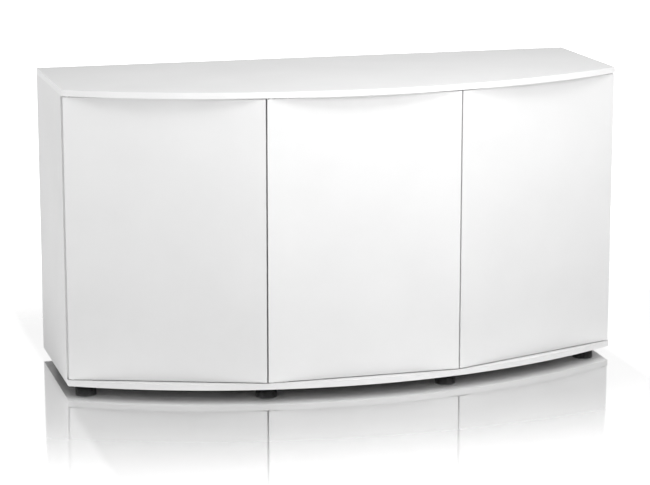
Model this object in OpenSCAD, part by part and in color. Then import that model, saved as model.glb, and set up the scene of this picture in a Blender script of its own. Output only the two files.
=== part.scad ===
// Bow-front aquarium cabinet on eight round feet, standing on Z = 0.
// Origin: middle of the footprint on the floor. X to the right, Y to the back, Z up.

/* [Overall size] */
// Width over the side panels
width = 1510; // [1200:10:1800]
// Depth from the back to the middle of the bowed front
depth = 600; // [500:5:700]
// Depth of the straight side edges of the plates
side_depth = 404; // [350:1:500]
// Height from the floor to the top surface
height = 800; // [600:5:1000]

/* [Boards] */
// Thickness of plates, panels, doors and shelves
board = 16; // [12:1:25]
// Thickness of the back boards
back_board = 8; // [3:1:12]
// Thickness of the edging strip round the plates
edging = 1; // [0.5:0.5:2]
// How far the back boards sit in from the rear edge
back_inset = 2; // [0:1:10]

/* [Doors] */
// Gap above and below the doors
door_gap = 2.5; // [2:0.5:5]
// Gap between neighbouring doors
seam_gap = 4; // [2:0.5:5]
// Distance from the plate end to the outer door's end
end_inset = 2.5; // [1:0.5:5]
// Distance from the plate corner back to the side panel's front edge
panel_setback = 17; // [17:1:30]
// Distance from the seam corner back to the partition's front edge
partition_setback = 22; // [22:1:40]

/* [Pivot hinges] */
// Distance of the pivot along the door from the plate corner
pivot_x = 12; // [11:0.5:20]
// Distance of the pivot behind the door face
pivot_y = 5; // [4.5:0.5:8]
// Pin radius
pin_r = 2.5; // [2:0.5:3]
// Width of a hinge leaf
leaf_w = 8; // [7:1:9]
// Distance from the pivot to the far end of a leaf
leaf_reach = 45; // [40:5:80]
// Thickness of a leaf
leaf_t = 2.5; // [2:0.5:3]

/* [Shelves] */
// Height of the underside of the shelves above the base plate
shelf_rise = 350; // [200:10:500]
// Distance from the door's back face to the shelf
shelf_setback = 20; // [15:5:60]
// Radius of a shelf pin
shelf_pin_r = 2.5; // [2.5:0.5:3]

/* [Feet] */
// Height of a foot
foot_h = 20; // [15:1:60]
// Radius of a foot
foot_r = 27.5; // [20:0.5:40]

/* [Hose grommets] */
// Radius of the clear opening
hose_r = 27; // [20:1:40]
// Height of the opening's centre above the base plate
hose_z = 600; // [400:10:680]

/* [Hidden] */
$fn = 96;
half_w = width / 2;
back_y = depth / 2;
corner_y = back_y - side_depth;
bow = depth - side_depth;
arc_r = (half_w * half_w + bow * bow) / (2 * bow);
arc_y = arc_r - depth / 2;
half_angle = asin(half_w / arc_r);
mitre = half_angle / 3;
door_turn = 2 * mitre;
chord = 2 * arc_r * sin(mitre);
seam_x = arc_r * sin(mitre);
seam_y = arc_y - arc_r * cos(mitre);
base_z = foot_h;
floor_z = base_z + board;
top_z = height - board;
inner_h = top_z - floor_z;
door_z = floor_z + door_gap;
door_h = inner_h - 2 * door_gap;
panel_front = corner_y + panel_setback;
partition_front = seam_y + partition_setback;
back_face = back_y - back_inset - back_board;
bay_side = half_w - board;
bay_seam = seam_x + board / 2;
washer_t = 0.9;
pin_clear = 0.05;
play = 0.1;
leaf_in = leaf_t - (door_gap - washer_t - play) / 2;
head_r = 3;
head_h = 1.5;
shank_r = 1.6;
leaf_screws = [18, 36];
seam_cut = seam_gap / 2 / cos(mitre);
cam_r = 7.5;
cam_depth = 12.5;
cam_rise = 34;
cam_bolt_r = 3;
cam_bolt_sink = 11;
cam_grip = 4;
cam_front = 60;
cam_rear = 70;
foot_x = [-700, -247, 247, 700];
foot_front = [-52, -200, -200, -52];
foot_rear = back_y - 50;
shelf_z = floor_z + shelf_rise;
pin_steps = [-64, 0, 64];
pin_hole = 8;
pin_rear = 190;
pin_side_front = -30;
pin_seam_front = -160;
latch_x = chord - 60;
latch_drop = 7;
latch_len = 60;
latch_gap = 8;
latch_screws_z = [38, 52];
plunger_r = 3.5;
plunger_head_r = 4.5;
plunger_travel = 2;
grommet_wall = 3;

// Door frames: x along the door from its hinged corner, y into the cabinet.

module left_frame() {
  translate([-half_w, corner_y, 0]) rotate([0, 0, -door_turn]) children();
}

module centre_frame() {
  translate([-seam_x, seam_y, 0]) children();
}

module right_frame() {
  mirror([1, 0, 0]) left_frame() children();
}

module all_frames() {
  left_frame() children();
  centre_frame() children();
  right_frame() children();
}

// The hinge ends of a door: once at the top and once turned over at the bottom.

module both_ends() {
  translate([0, 0, top_z - door_gap]) children();
  translate([0, 0, floor_z + door_gap]) mirror([0, 0, 1]) children();
}

// Plates and edging.

module outline(inset) {
  intersection() {
    translate([0, arc_y]) circle(r = arc_r - inset, $fn = 360);
    translate([-half_w + inset, -depth / 2]) square([width - 2 * inset, depth]);
  }
}

module plate_block() {
  linear_extrude(height = board) outline(edging);
}

module edging_strip() {
  difference() {
    linear_extrude(height = board) outline(0);
    translate([0, 0, -1]) linear_extrude(height = board + 2) outline(edging);
  }
}

module top_plate() {
  color("white")
  difference() {
    translate([0, 0, top_z]) plate_block();
    all_frames() both_ends() frame_leaf_pocket();
    all_frames() both_ends() frame_screw_pair();
    cam_bolt_rods(1);
    all_frames() latch_screw_pair();
  }
}

module top_edging() {
  color("white") translate([0, 0, top_z]) edging_strip();
}

module base_plate() {
  color("white")
  difference() {
    translate([0, 0, base_z]) plate_block();
    all_frames() both_ends() frame_leaf_pocket();
    all_frames() both_ends() frame_screw_pair();
    cam_bolt_rods(-1);
    foot_screw_set();
  }
}

module base_edging() {
  color("white") translate([0, 0, base_z]) edging_strip();
}

// Upright panels.

module pin_rows(face_x, way, front_y) {
  for (y = [front_y, pin_rear])
    for (step = pin_steps)
      translate([face_x, y, shelf_z - shelf_pin_r + step])
        rotate([0, 90 * way, 0])
        translate([0, 0, -1])
        cylinder(r = shelf_pin_r, h = pin_hole + 1);
}

module cam_pockets(face_x, way, front_y) {
  for (y = [front_y + cam_front, back_y - cam_rear])
    for (z = [floor_z + cam_rise, top_z - cam_rise])
      translate([face_x, y, z])
        rotate([0, 90 * way, 0])
        cylinder(r = cam_r, h = cam_depth);
}

module cam_rods(mid_x, front_y) {
  reach = cam_rise - cam_r + cam_grip;
  for (y = [front_y + cam_front, back_y - cam_rear]) {
    translate([mid_x, y, floor_z - cam_bolt_sink])
      cylinder(r = cam_bolt_r, h = cam_bolt_sink + reach);
    translate([mid_x, y, top_z - reach]) cylinder(r = cam_bolt_r, h = cam_bolt_sink + reach);
  }
}

module side_left() {
  color("white")
  difference() {
    translate([-half_w, panel_front, floor_z]) cube([board, back_y - panel_front, inner_h]);
    pin_rows(-bay_side, -1, pin_side_front);
    cam_pockets(-bay_side, -1, panel_front);
    cam_rods(-half_w + board / 2, panel_front);
  }
}

module side_right() {
  color("white") mirror([1, 0, 0]) side_left();
}

module partition_left() {
  color("white")
  difference() {
    translate([-bay_seam, partition_front, floor_z])
      cube([board, back_y - partition_front, inner_h]);
    pin_rows(-bay_seam, 1, pin_seam_front);
    translate([0, 20, 0]) pin_rows(-bay_seam + board, -1, pin_seam_front);
    cam_pockets(-bay_seam, 1, partition_front);
    cam_rods(-bay_seam + board / 2, partition_front);
  }
}

module partition_right() {
  color("white") mirror([1, 0, 0]) partition_left();
}

// Back boards, each with one hose opening.

module back_board_between(x0, x1) {
  difference() {
    translate([x0, back_face, floor_z]) cube([x1 - x0, back_board, inner_h]);
    translate([(x0 + x1) / 2, back_face - 1, floor_z + hose_z])
      rotate([-90, 0, 0])
      cylinder(r = hose_r + grommet_wall, h = back_board + 2);
  }
}

module back_left() {
  color("white") back_board_between(-bay_side, -bay_seam);
}

module back_centre() {
  color("white") back_board_between(-bay_seam + board, bay_seam - board);
}

module back_right() {
  color("white") back_board_between(bay_seam, bay_side);
}

module grommet(x) {
  translate([x, back_face - 2, floor_z + hose_z])
    rotate([-90, 0, 0])
    difference() {
      union() {
        cylinder(r = hose_r + grommet_wall, h = back_board + 2);
        cylinder(r = hose_r + 8, h = 2);
      }
      translate([0, 0, -1]) cylinder(r = hose_r, h = back_board + 4);
    }
}

module hose_grommets() {
  color("dimgray") {
    grommet(-(bay_side + bay_seam) / 2);
    grommet(0);
    grommet((bay_side + bay_seam) / 2);
  }
}

// Shelves and their pins.

module shelf_left() {
  back = back_face - 20;
  slope = tan(door_turn);
  front = seam_y + (board + shelf_setback) / cos(door_turn);
  color("white")
  translate([0, 0, shelf_z])
    linear_extrude(height = board)
    polygon([[-bay_side + 1, back], [-bay_seam - 1, back],
             [-bay_seam - 1, front + (bay_seam + 1 - seam_x) * slope],
             [-bay_side + 1, front + (bay_side - 1 - seam_x) * slope]]);
}

module shelf_right() {
  color("white") mirror([1, 0, 0]) shelf_left();
}

module shelf_centre() {
  inner = bay_seam - board - 1;
  front = seam_y + board + shelf_setback;
  color("white")
  translate([-inner, front, shelf_z]) cube([2 * inner, back_face - 20 - front, board]);
}

module shelf_pin_pair(face_x, way, front_y) {
  for (y = [front_y, pin_rear])
    translate([face_x, y, shelf_z - shelf_pin_r])
      rotate([0, 90 * way, 0]) {
        cylinder(r = shelf_pin_r, h = pin_hole);
        translate([0, 0, -8]) cylinder(r = shelf_pin_r, h = 8);
      }
}

module shelf_pins_left() {
  shelf_pin_pair(-bay_side, -1, pin_side_front);
  shelf_pin_pair(-bay_seam, 1, pin_seam_front);
  translate([0, 20, 0]) shelf_pin_pair(-bay_seam + board, -1, pin_seam_front);
}

module shelf_pins() {
  color("silver") {
    shelf_pins_left();
    mirror([1, 0, 0]) shelf_pins_left();
  }
}

// Cam fittings that pull the plates onto the panels.

module cam() {
  difference() {
    cylinder(r = cam_r, h = cam_depth);
    translate([-5, -0.8, -1]) cube([10, 1.6, 3.5]);
    translate([-0.8, -5, -1]) cube([1.6, 10, 3.5]);
  }
}

module cam_row(face_x, way, front_y) {
  difference() {
    for (y = [front_y + cam_front, back_y - cam_rear])
      for (z = [floor_z + cam_rise, top_z - cam_rise])
        translate([face_x, y, z]) rotate([0, 90 * way, 0]) cam();
    cam_rods(face_x + way * board / 2, front_y);
  }
}

module cam_locks() {
  color("silver")
  for (side = [0, 1])
    mirror([side, 0, 0]) {
      cam_row(-bay_side, -1, panel_front);
      cam_row(-bay_seam, 1, partition_front);
    }
}

module cam_bolt_rods(end) {
  z0 = end > 0 ? top_z - 1 : floor_z - cam_bolt_sink;
  for (side = [0, 1])
    mirror([side, 0, 0]) {
      for (y = [panel_front + cam_front, back_y - cam_rear])
        translate([-half_w + board / 2, y, z0]) cylinder(r = cam_bolt_r, h = cam_bolt_sink + 1);
      for (y = [partition_front + cam_front, back_y - cam_rear])
        translate([-bay_seam + board / 2, y, z0]) cylinder(r = cam_bolt_r, h = cam_bolt_sink + 1);
    }
}

module cam_bolts() {
  color("silver")
  for (side = [0, 1])
    mirror([side, 0, 0]) {
      cam_rods(-half_w + board / 2, panel_front);
      cam_rods(-bay_seam + board / 2, partition_front);
    }
}

// Feet and their screws.

module at_feet() {
  for (i = [0 : 3]) {
    translate([foot_x[i], foot_front[i], 0]) children();
    translate([foot_x[i], foot_rear, 0]) children();
  }
}

module foot_screw() {
  translate([0, 0, foot_h - 12]) cylinder(r = 4.5, h = 4);
  translate([0, 0, foot_h - 8]) cylinder(r = 2.2, h = 20);
}

module foot_screw_set() {
  at_feet() foot_screw();
}

module foot() {
  difference() {
    cylinder(r = foot_r, h = foot_h);
    translate([0, 0, -1]) cylinder(r = 6, h = foot_h - 11);
    foot_screw();
  }
}

module feet() {
  color("black") at_feet() foot();
}

module foot_screws() {
  color("silver") foot_screw_set();
}

// Pivot hinges, drawn at the top of a door: z = 0 is the door's top edge.

module leaf_shape(grow) {
  translate([pivot_x, pivot_y]) circle(r = leaf_w / 2 + grow);
  translate([pivot_x, pivot_y - leaf_w / 2 - grow]) square([leaf_reach, leaf_w + 2 * grow]);
  translate([pivot_x + leaf_reach, pivot_y]) circle(r = leaf_w / 2 + grow);
}

module leaf_screw(length) {
  translate([0, 0, -head_h]) cylinder(r1 = shank_r, r2 = head_r, h = head_h);
  translate([0, 0, -length]) cylinder(r = shank_r, h = length - head_h);
}

module door_screw_pair() {
  for (x = leaf_screws)
    translate([pivot_x + x, pivot_y, leaf_t - leaf_in]) leaf_screw(18);
}

module frame_screw_pair() {
  for (x = leaf_screws)
    translate([pivot_x + x, pivot_y, door_gap - leaf_t + leaf_in])
      mirror([0, 0, 1])
      leaf_screw(13);
}

module door_leaf_pocket() {
  translate([0, 0, -leaf_in]) linear_extrude(height = leaf_in + 1) leaf_shape(0);
}

module frame_leaf_pocket() {
  translate([0, 0, door_gap - 1]) linear_extrude(height = leaf_in + 1) leaf_shape(0);
}

module door_leaf() {
  difference() {
    union() {
      translate([0, 0, -leaf_in]) linear_extrude(height = leaf_t) leaf_shape(0);
      translate([pivot_x, pivot_y, -leaf_in])
        cylinder(r = pin_r, h = leaf_in + door_gap + leaf_in - 0.2);
    }
    door_screw_pair();
  }
}

module frame_leaf() {
  difference() {
    translate([0, 0, door_gap + leaf_in - leaf_t])
      linear_extrude(height = leaf_t)
      leaf_shape(0);
    translate([pivot_x, pivot_y, 0]) cylinder(r = pin_r + pin_clear, h = 10);
    frame_screw_pair();
  }
}

module washer() {
  translate([pivot_x, pivot_y, door_gap + leaf_in - leaf_t - washer_t])
    difference() {
      cylinder(r = leaf_w / 2, h = washer_t);
      translate([0, 0, -1]) cylinder(r = pin_r + pin_clear, h = 3);
    }
}

module frame_leaves() {
  color("silver") all_frames() both_ends() frame_leaf();
}

module frame_leaf_screws() {
  color("silver") all_frames() both_ends() frame_screw_pair();
}

module pivot_washers() {
  color("white") all_frames() both_ends() washer();
}

// Push latches under the top plate, one behind the free end of each door.

module at_latch() {
  translate([latch_x, board + latch_gap, top_z - latch_drop]) rotate([-90, 0, 0]) children();
}

module latch_case() {
  difference() {
    translate([-8, -latch_drop, 0]) cube([16, 14, latch_len]);
    translate([0, 0, -1]) cylinder(r = plunger_r + 0.4, h = 32);
    for (z = latch_screws_z) latch_screw_at(z);
  }
}

module latch_screw_at(z) {
  translate([0, 7, z]) rotate([90, 0, 0]) {
    cylinder(r = 3, h = 3);
    cylinder(r = 1.5, h = 24);
  }
}

module latch_screw_pair() {
  at_latch()
    for (z = latch_screws_z)
      latch_screw_at(z);
}

module latch_cases() {
  color("gainsboro") all_frames() at_latch() latch_case();
}

module latch_screws() {
  color("silver") all_frames() latch_screw_pair();
}

module plunger() {
  color("gray")
  at_latch() {
    translate([0, 0, -latch_gap + 1.4]) cylinder(r = plunger_r, h = latch_gap + 22);
    translate([0, 0, -latch_gap + 1.4])
      cylinder(r = plunger_head_r, h = latch_gap - 1.4 - plunger_travel - 0.4);
  }
}

module plunger_left() {
  left_frame() plunger();
}

module plunger_centre() {
  centre_frame() plunger();
}

module plunger_right() {
  right_frame() plunger();
}

module strike() {
  color("silver")
  translate([latch_x - 9, board, door_z + door_h - 12.5]) cube([18, 1, 12]);
}

// Doors.

module side_door() {
  end = chord - seam_cut;
  color("white")
  difference() {
    translate([0, 0, door_z])
      linear_extrude(height = door_h)
      polygon([[end_inset, 0], [end, 0], [end - board * tan(mitre), board], [end_inset, board]]);
    both_ends() door_leaf_pocket();
    both_ends() door_screw_pair();
  }
}

module door_left() {
  left_frame() side_door();
}

module door_right() {
  right_frame() side_door();
}

module door_centre() {
  inset = board * tan(mitre);
  color("white")
  centre_frame()
  difference() {
    translate([0, 0, door_z])
      linear_extrude(height = door_h)
      polygon([[seam_cut, 0], [chord - seam_cut, 0],
               [chord - seam_cut - inset, board], [seam_cut + inset, board]]);
    both_ends() door_leaf_pocket();
    both_ends() door_screw_pair();
  }
}

module leaves_left() {
  color("silver") left_frame() both_ends() door_leaf();
}

module leaves_centre() {
  color("silver") centre_frame() both_ends() door_leaf();
}

module leaves_right() {
  color("silver") right_frame() both_ends() door_leaf();
}

module leaf_screws_left() {
  color("silver") left_frame() both_ends() door_screw_pair();
}

module leaf_screws_centre() {
  color("silver") centre_frame() both_ends() door_screw_pair();
}

module leaf_screws_right() {
  color("silver") right_frame() both_ends() door_screw_pair();
}

module strike_left() {
  left_frame() strike();
}

module strike_centre() {
  centre_frame() strike();
}

module strike_right() {
  right_frame() strike();
}

top_plate();
top_edging();
base_plate();
base_edging();
side_left();
side_right();
partition_left();
partition_right();
back_left();
back_centre();
back_right();
shelf_left();
shelf_centre();
shelf_right();
shelf_pins();
cam_locks();
cam_bolts();
hose_grommets();
feet();
foot_screws();
frame_leaves();
frame_leaf_screws();
pivot_washers();
latch_cases();
latch_screws();
door_left();
leaves_left();
leaf_screws_left();
strike_left();
door_centre();
leaves_centre();
leaf_screws_centre();
strike_centre();
door_right();
leaves_right();
leaf_screws_right();
strike_right();
plunger_left();
plunger_centre();
plunger_right();
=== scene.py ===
import math

import bpy
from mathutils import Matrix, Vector

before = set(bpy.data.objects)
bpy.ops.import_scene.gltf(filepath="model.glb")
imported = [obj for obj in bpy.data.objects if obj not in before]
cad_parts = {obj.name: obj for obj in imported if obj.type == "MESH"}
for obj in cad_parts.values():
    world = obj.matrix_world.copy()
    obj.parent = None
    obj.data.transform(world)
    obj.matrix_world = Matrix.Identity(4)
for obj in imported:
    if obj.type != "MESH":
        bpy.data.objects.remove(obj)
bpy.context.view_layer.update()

BAYS = ("left", "centre", "right")
DOOR_NODES = [f"door_{bay}" for bay in BAYS]
PLUNGER_NODES = [f"plunger_{bay}" for bay in BAYS]
FOIL_NODES = ("side_left", "side_right", "partition_left", "partition_right", "back_left",
              "back_centre", "back_right", "shelf_left", "shelf_centre", "shelf_right")
EDGE_NODES = ("top_edging", "base_edging")
ZINC_NODES = ("shelf_pins", "cam_locks", "cam_bolts", "foot_screws", "frame_leaf_screws",
              "latch_screws", "leaf_screws_left", "leaf_screws_centre", "leaf_screws_right")
NICKEL_NODES = ("frame_leaves", "leaves_left", "leaves_centre", "leaves_right",
                "strike_left", "strike_centre", "strike_right")

# A noise texture hardly leaves this span.
NOISE_SPAN = (0.3, 0.7)


class Shader:
    """A node material, built up call by call round one Principled shader."""

    def __init__(self, name):
        self.material = bpy.data.materials.new(name)
        self.material.use_nodes = True
        self.nodes = self.material.node_tree.nodes
        self.links = self.material.node_tree.links
        self.surface = self.nodes["Principled BSDF"]
        self.place = self.nodes.new("ShaderNodeTexCoord").outputs["Object"]

    def set(self, **values):
        for name, value in values.items():
            self.surface.inputs[name.replace("_", " ")].default_value = value
        return self

    def stretched(self, scale):
        """The object coordinates, scaled along each axis."""
        mapping = self.nodes.new("ShaderNodeMapping")
        mapping.inputs["Scale"].default_value = scale
        self.links.new(self.place, mapping.inputs["Vector"])
        return mapping.outputs["Vector"]

    def noise(self, scale, detail=3.0, roughness=0.5, vector=None):
        node = self.nodes.new("ShaderNodeTexNoise")
        node.inputs["Scale"].default_value = scale
        node.inputs["Detail"].default_value = detail
        node.inputs["Roughness"].default_value = roughness
        self.links.new(vector or self.place, node.inputs["Vector"])
        return node.outputs["Fac"]

    def cells(self, scale):
        node = self.nodes.new("ShaderNodeTexVoronoi")
        node.inputs["Scale"].default_value = scale
        self.links.new(self.place, node.inputs["Vector"])
        return node.outputs["Distance"]

    def ramp(self, value, dark, light):
        """Maps a noise onto two colours."""
        node = self.nodes.new("ShaderNodeValToRGB")
        for stop, position, shade in zip(node.color_ramp.elements, NOISE_SPAN, (dark, light)):
            stop.position = position
            stop.color = (*shade, 1)
        self.links.new(value, node.inputs["Fac"])
        return node.outputs["Color"]

    def spread(self, value, low, high):
        """Maps a noise onto low to high."""
        node = self.nodes.new("ShaderNodeMapRange")
        node.inputs["From Min"].default_value = NOISE_SPAN[0]
        node.inputs["From Max"].default_value = NOISE_SPAN[1]
        node.inputs["To Min"].default_value = low
        node.inputs["To Max"].default_value = high
        self.links.new(value, node.inputs["Value"])
        return node.outputs["Result"]

    def colour(self, value):
        self.links.new(value, self.surface.inputs["Base Color"])

    def rough(self, value, low, high):
        """Gives a roughness from low to high, as the value goes from its dark to its light end."""
        self.links.new(self.spread(value, low, high), self.surface.inputs["Roughness"])

    def bump(self, value, depth):
        """Adds one more layer of relief, depth in metres."""
        node = self.nodes.new("ShaderNodeBump")
        node.inputs["Distance"].default_value = depth
        socket = self.surface.inputs["Normal"]
        if socket.links:
            self.links.new(socket.links[0].from_socket, node.inputs["Normal"])
        self.links.new(value, node.inputs["Height"])
        self.links.new(node.outputs["Normal"], socket)


def grey(level, warm=0.0):
    return (level + warm, level, level - warm)


def foil(name, level, gloss, sheen=0.45):
    """White melamine foil: faint clouding, a fine pearl emboss and a satin sheen."""
    s = Shader(name)
    cloud = s.noise(6.0, detail=4.0)
    pearl = s.noise(900.0, detail=2.0, roughness=0.6)
    s.colour(s.ramp(cloud, grey(level - 0.012), grey(level + 0.012)))
    s.rough(s.noise(4.0, detail=1.0), gloss - 0.01, gloss + 0.02)
    s.bump(pearl, 0.00001)
    s.bump(s.noise(3.5, detail=1.0), 0.00006)
    return s.set(Specular_IOR_Level=sheen).material


def strip(name, level):
    """Edging strip: smoother than the foil, with the light waviness of a glued strip."""
    s = Shader(name)
    s.colour(s.ramp(s.noise(9.0), grey(level - 0.01), grey(level + 0.01)))
    s.rough(s.noise(3.0, detail=0.0), 0.32, 0.35)
    s.bump(s.noise(2.5, detail=0.0), 0.00004)
    return s.set(Specular_IOR_Level=0.5).material


def brushed(name, level, stretch, gloss):
    """Plated steel with drawn lines along one axis and a few cloudy patches."""
    s = Shader(name)
    lines = s.noise(1.0, detail=3.0, vector=s.stretched(stretch))
    s.colour(s.ramp(s.noise(70.0), grey(level - 0.05), grey(level + 0.05, 0.004)))
    s.rough(lines, gloss - 0.06, gloss + 0.08)
    s.bump(lines, 0.00002)
    return s.set(Metallic=1.0).material


def moulded(name, level, gloss, grain=1400.0, sheen=0.4):
    """Moulded plastic: spark-eroded grain and slightly uneven colour."""
    s = Shader(name)
    low = max(level * 0.85, 0.004)
    s.colour(s.ramp(s.noise(40.0, detail=4.0), grey(low), grey(level * 1.1)))
    s.rough(s.noise(300.0), gloss - 0.05, gloss + 0.08)
    s.bump(s.cells(grain), 0.00005)
    return s.set(Specular_IOR_Level=sheen).material


def paint(nodes, material):
    for name in nodes:
        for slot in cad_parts[name].material_slots:
            slot.material = material


SHARP = math.radians(40)


def soften(nodes, width, segments=2):
    """Eases sharp edges, as a cutter, an edging trimmer or a mould leaves them. Width in metres."""
    for name in nodes:
        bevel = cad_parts[name].modifiers.new("eased_edges", "BEVEL")
        bevel.width = width
        bevel.segments = segments
        bevel.limit_method = "ANGLE"
        bevel.angle_limit = SHARP
        bevel.harden_normals = True


# The greys are linear: the photo's white board shows as 0.66 to 0.84. It is all one white foil; the
# top plate's darker grey is painted shade, set against the overhead lamp that it lies under.
paint(["top_plate"], foil("top_foil_painted_shade", 0.66, 0.36, sheen=0.35))
paint(["base_plate"], foil("base_foil", 0.78, 0.36, sheen=0.35))
paint(FOIL_NODES, foil("panel_foil", 0.79, 0.38, sheen=0.35))
paint(DOOR_NODES, foil("door_foil", 0.80, 0.32))
# One edging on both plates; the base strip's lower grey is painted shade near the floor.
paint(["top_edging"], strip("top_strip", 0.84))
paint(["base_edging"], strip("base_strip_painted_shade", 0.74))
paint(ZINC_NODES, brushed("zinc_plate", 0.62, (300, 300, 2400), 0.34))
paint(NICKEL_NODES, brushed("nickel_plate", 0.55, (180, 180, 3000), 0.28))
paint(["hose_grommets"], moulded("grommet_plastic", 0.16, 0.45))
paint(["latch_cases"], moulded("latch_plastic", 0.62, 0.42))
paint(PLUNGER_NODES, moulded("plunger_plastic", 0.22, 0.38))
paint(["pivot_washers"], moulded("washer_nylon", 0.78, 0.35))
paint(["feet"], moulded("foot_plastic", 0.005, 0.55, grain=900.0, sheen=0.12))

soften(DOOR_NODES, 0.0012, 3)
soften(FOIL_NODES, 0.0005)
soften(EDGE_NODES, 0.0004)
soften(["feet"], 0.0012, 3)

# Camera: lens and place chosen so that the cabinet stands in the frame as photographed. It turns
# right and tilts down, in radians.
TURN = 0.2723
TILT = 0.2182
CAMERA_AT = (-1.7378, -6.1137, 1.7458)
LENS_MM = 133.37
SENSOR_MM = 36

camera_data = bpy.data.cameras.new("camera")
camera_data.lens = LENS_MM
camera_data.sensor_width = SENSOR_MM
camera_data.sensor_fit = "HORIZONTAL"
camera_data.clip_end = 200
camera = bpy.data.objects.new("camera", camera_data)
bpy.context.collection.objects.link(camera)
camera.location = CAMERA_AT
camera.rotation_euler = (math.pi / 2 - TILT, 0, -TURN)
bpy.context.scene.camera = camera


def area_light(name, place, target, size, power, mirrored=True):
    """A rectangular lamp that points at the target. Metres and watts."""
    data = bpy.data.lights.new(name, "AREA")
    data.shape = "RECTANGLE"
    data.size, data.size_y = size
    data.energy = power
    light = bpy.data.objects.new(name, data)
    bpy.context.collection.objects.link(light)
    light.location = place
    aim = Vector(target) - Vector(place)
    light.visible_camera = False
    light.visible_glossy = mirrored
    light.rotation_euler = aim.to_track_quat("-Z", "Y").to_euler()


# The key lamp stands low in front of the middle door. Glossy boards don't mirror it, because it
# would bleach the top plate when seen from behind.
area_light("overhead", (0.08, -1.12, 2.6), (0.0, -0.15, 0.7), (2.4, 0.8), 37)
area_light("key", (0.3, -1.3, 1.35), (0.08, -0.3, 0.72), (1.0, 0.4), 6.8, mirrored=False)
area_light("right_box", (1.6, -1.6, 2.6), (0.0, -0.2, 0.7), (1.2, 1.2), 6.5)
area_light("left_box", (-3.0, 0.0, 0.6), (-0.5, 0.0, 0.35), (1.6, 1.2), 6.3)

# The studio walls look white, and light the scene more softly than they look.
WALL_LIGHT = 0.25
WALL_GLOW = 1.2
world = bpy.data.worlds.new("studio")
world.use_nodes = True
sky = world.node_tree.nodes["Background"]
sky.inputs["Color"].default_value = (1, 1, 1, 1)
path = world.node_tree.nodes.new("ShaderNodeLightPath")
level = world.node_tree.nodes.new("ShaderNodeMapRange")
level.inputs["To Min"].default_value = WALL_GLOW
level.inputs["To Max"].default_value = WALL_LIGHT
world.node_tree.links.new(path.outputs["Is Diffuse Ray"], level.inputs["Value"])
world.node_tree.links.new(level.outputs["Result"], sky.inputs["Strength"])
bpy.context.scene.world = world
bpy.context.scene.view_settings.view_transform = "Standard"

REACH = 30.0
floor_mesh = bpy.data.meshes.new("floor")
corners = [(-REACH, -REACH, 0), (REACH, -REACH, 0), (REACH, REACH, 0), (-REACH, REACH, 0)]
floor_mesh.from_pydata(corners, [], [(0, 1, 2, 3)])
floor = bpy.data.objects.new("floor", floor_mesh)
bpy.context.collection.objects.link(floor)


# The floor is a gloss sheet that mirrors the cabinet's foot and fades to plain white; near the
# cabinet its colour is painted darker, as painted shade. It also glows for light bounced off the
# cabinet, in place of the light a matt white floor throws back, most of it along the cabinet's
# front. Where it does what depends on the distance from the cabinet's footprint, in metres.
BOW_CENTRE = (0, 1.252, 0)
BOW_RADIUS = 1.552
HALF_WIDTH = 0.755
BACK_Y = 0.30


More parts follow.
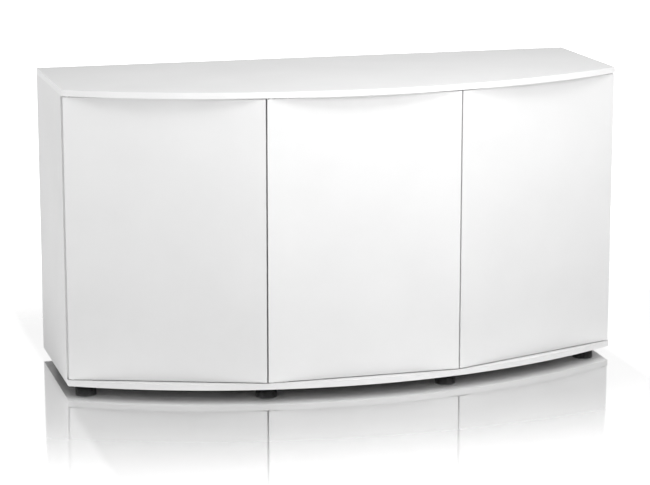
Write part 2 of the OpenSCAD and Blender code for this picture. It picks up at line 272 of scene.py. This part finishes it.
def floor_material():
    s = Shader("floor_gloss_painted_light")

    def calc(operation, a, b=0.0):
        node = s.nodes.new("ShaderNodeMath")
        node.operation = operation
        for socket, value in zip(node.inputs, (a, b)):
            if isinstance(value, float):
                socket.default_value = value
            else:
                s.links.new(value, socket)
        return node.outputs["Value"]

    def plus(a, b):
        return calc("ADD", a, b)

    def minus(a, b):
        return calc("SUBTRACT", a, b)

    def times(a, b):
        return calc("MULTIPLY", a, b)

    def fade(value, start, end, low, high):
        """Goes smoothly from low to high while the value goes from start to end."""
        node = s.nodes.new("ShaderNodeMapRange")
        node.interpolation_type = "SMOOTHSTEP"
        limits = {"From Min": start, "From Max": end, "To Min": low, "To Max": high}
        for name, number in limits.items():
            node.inputs[name].default_value = number
        s.links.new(value, node.inputs["Value"])
        return node.outputs["Result"]

    # Distances beyond the bowed front, a side and the back, and the largest of them.
    from_centre = s.nodes.new("ShaderNodeVectorMath")
    from_centre.operation = "DISTANCE"
    s.links.new(s.place, from_centre.inputs[0])
    from_centre.inputs[1].default_value = BOW_CENTRE
    parts = s.nodes.new("ShaderNodeSeparateXYZ")
    s.links.new(s.place, parts.inputs["Vector"])
    front = minus(from_centre.outputs["Value"], BOW_RADIUS)
    side = minus(calc("ABSOLUTE", parts.outputs["X"]), HALF_WIDTH)
    back = minus(parts.outputs["Y"], BACK_Y)
    away = calc("MAXIMUM", calc("MAXIMUM", front, side), back)

    # Light bounced off the cabinet sees a matt floor. What is seen of the floor itself turns
    # plain white a metre out.
    rays = s.nodes.new("ShaderNodeLightPath")
    bounced = rays.outputs["Is Diffuse Ray"]
    unbounced = minus(1.0, bounced)
    seen = times(unbounced, minus(1.0, rays.outputs["Is Glossy Ray"]))
    far = times(seen, fade(away, 0.9, 1.2, 0.0, 1.0))
    mirror = times(unbounced, fade(away, 0.0, 0.9, 0.94, 0.25))
    s.links.new(times(mirror, minus(1.0, far)), s.surface.inputs["Metallic"])
    s.rough(s.noise(8.0), 0.06, 0.08)
    # Painted shade: the floor's colour is darker near the cabinet, which also darkens what it
    # mirrors there.
    s.colour(fade(away, 0.0, 0.9, 0.75, 0.95))

    # The light that the floor gives, part by part. The glow along the front and the thin glow all
    # round reach only light bounced off the cabinet, and so act as a lamp in the floor. The rest is
    # painted light seen on the floor itself: a glow that is weak near the footprint, which leaves
    # the floor there darker as painted shade, a painted glow in a band beside the sides, and plain
    # white far out.
    along_front = times(fade(front, -0.045, 0.0, 0.0, 1.0), fade(front, 0.02, 0.2, 0.83, 0.0))
    around = fade(away, 0.0, 0.02, 0.0, 0.06)
    painted_glow_outside = fade(away, 0.15, 1.0, 0.0, 0.4)
    painted_glow_beside = times(fade(side, 0.0, 0.03, 0.0, 0.1), fade(side, 0.1, 0.6, 1.0, 0.0))
    lamp_and_painted_glow = plus(times(bounced, plus(along_front, around)), painted_glow_outside)
    lamp_and_painted_glow = plus(plus(lamp_and_painted_glow, painted_glow_beside), times(far, 0.6))
    s.links.new(lamp_and_painted_glow, s.surface.inputs["Emission Strength"])
    return s.set(Emission_Color=(1, 1, 1, 1)).material


floor_mesh.materials.append(floor_material())
